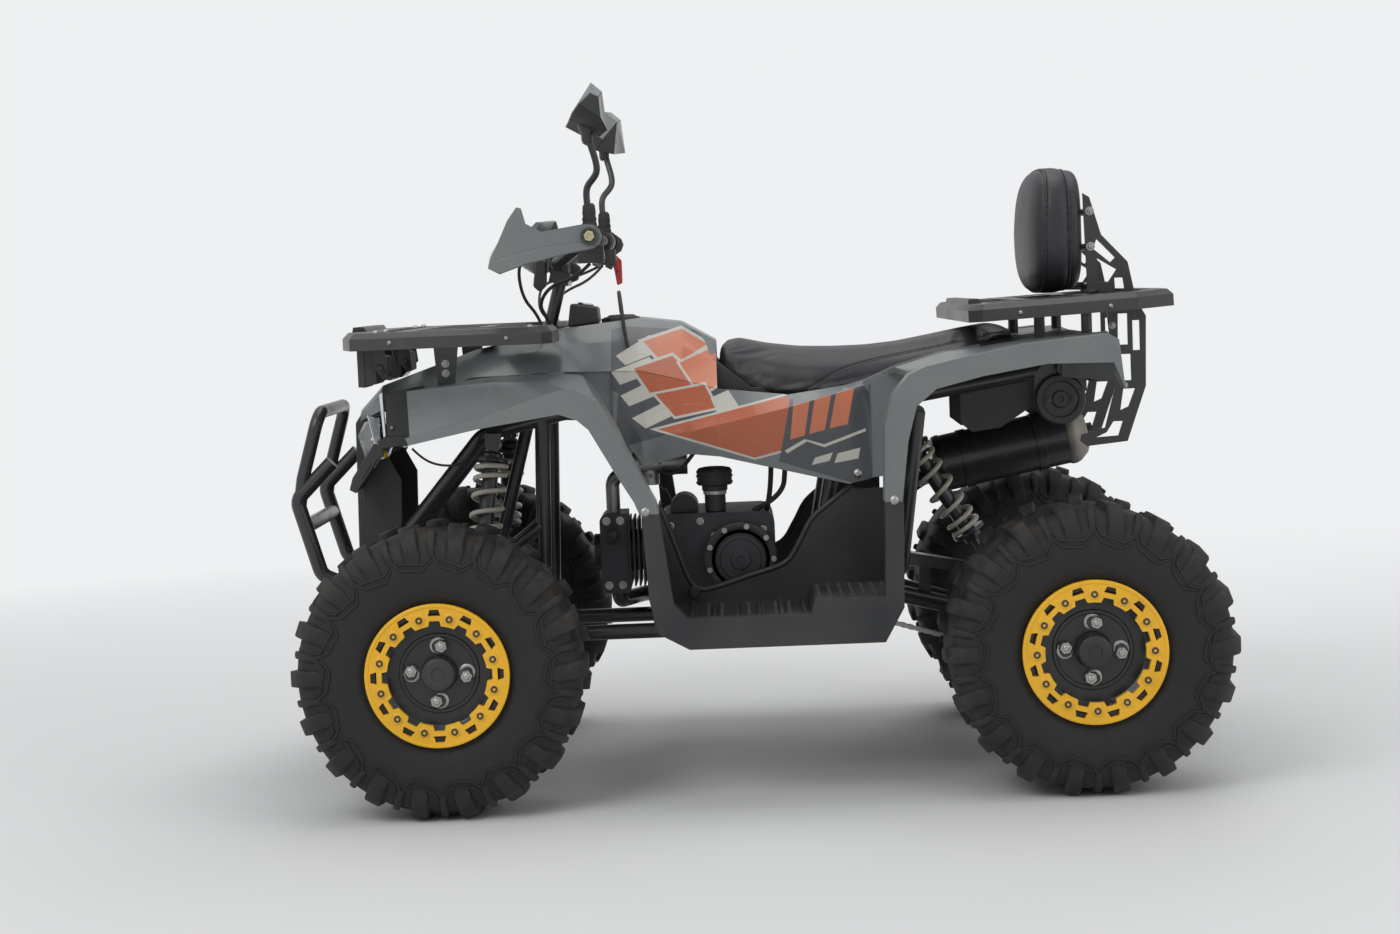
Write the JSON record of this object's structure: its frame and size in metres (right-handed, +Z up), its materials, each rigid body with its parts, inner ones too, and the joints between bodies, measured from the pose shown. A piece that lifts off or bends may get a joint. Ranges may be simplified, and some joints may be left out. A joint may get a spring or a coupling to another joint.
{
  "type": "quad bike",
  "caption": "Small utility quad bike with chunky off-road tyres, tube bumper, front and rear racks, hand guards, mirrors, padded seat and backrest",
  "frame": {"origin": "on the ground at the centre of the box around the machine", "axes": "X to the rear, Y to the rider's right, Z up"},
  "size_m": [1.5356, 0.928, 1.154],
  "materials": {
    "tyre": "matt",
    "rim": "satin",
    "bead_ring": "gloss",
    "bare_steel": "satin",
    "black_steel": "satin",
    "grey_plastic": "satin",
    "black_plastic": "matt",
    "rubber": "matt",
    "leather": "satin",
    "glass": "gloss",
    "red_glass": "gloss",
    "cast_alloy": "matt",
    "spring": "gloss",
    "red_plastic": "gloss"
  },
  "bodies": {
    "chassis": {"air_filter": "black_plastic", "backrest_bracket": "black_steel", "backrest_pad": "leather", "carburettor": "cast_alloy", "chain": "bare_steel", "dash": "black_plastic", "engine": "cast_alloy", "exhaust": "black_steel", "footwells": "black_plastic", "frame": "black_steel", "frame_rails_left": "black_steel", "frame_rails_right": "black_steel", "front_bumper": "black_steel", "front_fenders": "grey_plastic", "front_rack": "black_steel", "front_shocks": "black_steel", "front_springs": "spring", "fuel_cap": "black_plastic", "headlamps": "glass", "hood": "grey_plastic", "nose_cowl": "black_plastic", "nose_panels": "black_plastic", "rear_fenders": "grey_plastic", "rear_rack": "black_steel", "seat": "leather", "shock_rear": "black_steel", "side_panels": "grey_plastic", "spotlights": "black_plastic", "spring_rear": "spring", "swingarm": "black_steel", "tail_lamp": "red_glass", "tail_panel": "black_plastic", "wishbones": "black_steel"},
    "steering": {"steering_column": "black_steel", "handlebar": "black_steel", "grips": "rubber", "hand_guards": "grey_plastic", "mirrors": "grey_plastic", "controls": "black_plastic", "throttle_lever": "red_plastic"},
    "tie_rod_left": {"tie_rod_left": "bare_steel"},
    "tie_rod_right": {"tie_rod_right": "bare_steel"},
    "knuckle_left": {"knuckle_left": "black_steel"},
    "knuckle_right": {"knuckle_right": "black_steel"},
    "wheel_front_left": {"tyre_front_left": "tyre", "rim_front_left": "rim", "bead_ring_front_left": "bead_ring", "hub_front_left": "bare_steel"},
    "wheel_front_right": {"tyre_front_right": "tyre", "rim_front_right": "rim", "bead_ring_front_right": "bead_ring", "hub_front_right": "bare_steel"},
    "rear_axle": {"rear_axle": "bare_steel", "tyre_rear_left": "tyre", "rim_rear_left": "rim", "bead_ring_rear_left": "bead_ring", "tyre_rear_right": "tyre", "rim_rear_right": "rim", "bead_ring_rear_right": "bead_ring"}
  },
  "joints": [
    {"name": "steering", "type": "hinge", "parent": "chassis", "child": "steering", "pos_m": [-0.455, 0, 0.3], "axis": [0.2673, 0, 0.9636], "range_deg": [-30, 30]},
    {"name": "kingpin_left", "type": "hinge", "parent": "chassis", "child": "knuckle_left", "pos_m": [-0.493, -0.28, 0.235], "axis": [0, 0, 1], "range_deg": [-30, 30]},
    {"name": "tie_rod_pivot_left", "type": "hinge", "parent": "steering", "child": "tie_rod_left", "pos_m": [-0.41827, -0.018, 0.27528], "axis": [0.2673, 0, 0.9636], "range_deg": [-30, 30]},
    {"name": "front_wheel_spin_left", "type": "hinge", "parent": "knuckle_left", "child": "wheel_front_left", "pos_m": [-0.493, -0.375, 0.235], "axis": [0, 1, 0], "continuous": true},
    {"name": "kingpin_right", "type": "hinge", "parent": "chassis", "child": "knuckle_right", "pos_m": [-0.493, 0.28, 0.235], "axis": [0, 0, 1], "range_deg": [-30, 30]},
    {"name": "tie_rod_pivot_right", "type": "hinge", "parent": "steering", "child": "tie_rod_right", "pos_m": [-0.41827, 0.018, 0.27528], "axis": [0.2673, 0, 0.9636], "range_deg": [-30, 30]},
    {"name": "front_wheel_spin_right", "type": "hinge", "parent": "knuckle_right", "child": "wheel_front_right", "pos_m": [-0.493, 0.375, 0.235], "axis": [0, 1, 0], "continuous": true},
    {"name": "rear_axle_spin", "type": "hinge", "parent": "chassis", "child": "rear_axle", "pos_m": [0.537, 0, 0.232], "axis": [0, 1, 0], "continuous": true}
  ],
  "couplings": [
    {"joint": "kingpin_left", "follows": "steering", "ratio": 1},
    {"joint": "tie_rod_pivot_left", "follows": "steering", "ratio": -1},
    {"joint": "kingpin_right", "follows": "steering", "ratio": 1},
    {"joint": "tie_rod_pivot_right", "follows": "steering", "ratio": -1}
  ]
}
